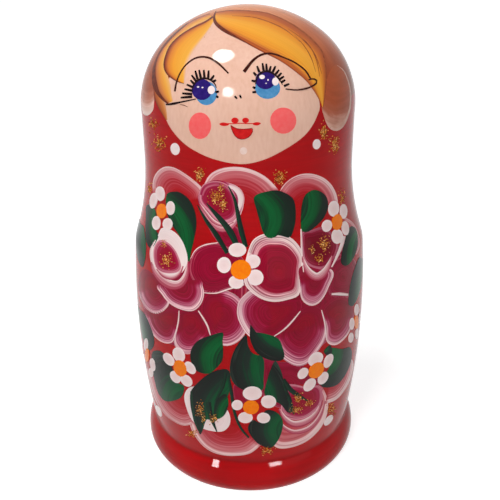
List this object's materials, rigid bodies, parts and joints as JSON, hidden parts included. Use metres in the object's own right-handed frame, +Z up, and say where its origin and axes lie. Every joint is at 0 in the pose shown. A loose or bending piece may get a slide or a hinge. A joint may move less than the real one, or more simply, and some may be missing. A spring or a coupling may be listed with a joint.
{
  "type": "nesting doll",
  "caption": "Turned wooden nesting doll painted with flowers: each hollow doll opens at the belly on a thin rim and holds the next smaller doll, down to a solid one.",
  "frame": {"origin": "centre of the flat base, on the surface that the doll stands on", "axes": "+Z up along the axis of the turning, -Y towards the painted face"},
  "size_m": [0.0892, 0.0892, 0.175],
  "materials": {
    "painted_wood": "gloss lacquer over paint on turned linden wood, bare wood inside"
  },
  "bodies": {
    "doll1_bottom": {"doll1_bottom": "painted_wood"},
    "doll1_top": {"doll1_top": "painted_wood"},
    "doll2_bottom": {"doll2_bottom": "painted_wood"},
    "doll2_top": {"doll2_top": "painted_wood"},
    "doll3_bottom": {"doll3_bottom": "painted_wood"},
    "doll3_top": {"doll3_top": "painted_wood"},
    "doll4_bottom": {"doll4_bottom": "painted_wood"},
    "doll4_top": {"doll4_top": "painted_wood"},
    "doll5_bottom": {"doll5_bottom": "painted_wood"},
    "doll5_top": {"doll5_top": "painted_wood"},
    "doll6_bottom": {"doll6_bottom": "painted_wood"},
    "doll6_top": {"doll6_top": "painted_wood"},
    "doll7_whole": {"doll7_whole": "painted_wood"}
  },
  "joints": [
    {"name": "doll2_lift_out", "type": "slide", "parent": "doll1_bottom", "child": "doll2_bottom", "axis": [0, 0, 1], "range_m": [0, 0.09]},
    {"name": "doll3_lift_out", "type": "slide", "parent": "doll2_bottom", "child": "doll3_bottom", "axis": [0, 0, 1], "range_m": [0, 0.0696]},
    {"name": "doll4_lift_out", "type": "slide", "parent": "doll3_bottom", "child": "doll4_bottom", "axis": [0, 0, 1], "range_m": [0, 0.0539]},
    {"name": "doll5_lift_out", "type": "slide", "parent": "doll4_bottom", "child": "doll5_bottom", "axis": [0, 0, 1], "range_m": [0, 0.0417]},
    {"name": "doll6_lift_out", "type": "slide", "parent": "doll5_bottom", "child": "doll6_bottom", "axis": [0, 0, 1], "range_m": [0, 0.0322]},
    {"name": "doll7_lift_out", "type": "slide", "parent": "doll6_bottom", "child": "doll7_whole", "axis": [0, 0, 1], "range_m": [0, 0.0249]},
    {"name": "doll6_top_lift_off", "type": "slide", "parent": "doll7_whole", "child": "doll6_top", "axis": [0, 0, 1], "range_m": [0, 0.0183]},
    {"name": "doll5_top_lift_off", "type": "slide", "parent": "doll6_top", "child": "doll5_top", "axis": [0, 0, 1], "range_m": [0, 0.0236]},
    {"name": "doll4_top_lift_off", "type": "slide", "parent": "doll5_top", "child": "doll4_top", "axis": [0, 0, 1], "range_m": [0, 0.0306]},
    {"name": "doll3_top_lift_off", "type": "slide", "parent": "doll4_top", "child": "doll3_top", "axis": [0, 0, 1], "range_m": [0, 0.0395]},
    {"name": "doll2_top_lift_off", "type": "slide", "parent": "doll3_top", "child": "doll2_top", "axis": [0, 0, 1], "range_m": [0, 0.0511]},
    {"name": "doll1_top_lift_off", "type": "slide", "parent": "doll2_top", "child": "doll1_top", "axis": [0, 0, 1], "range_m": [0, 0.066]}
  ]
}
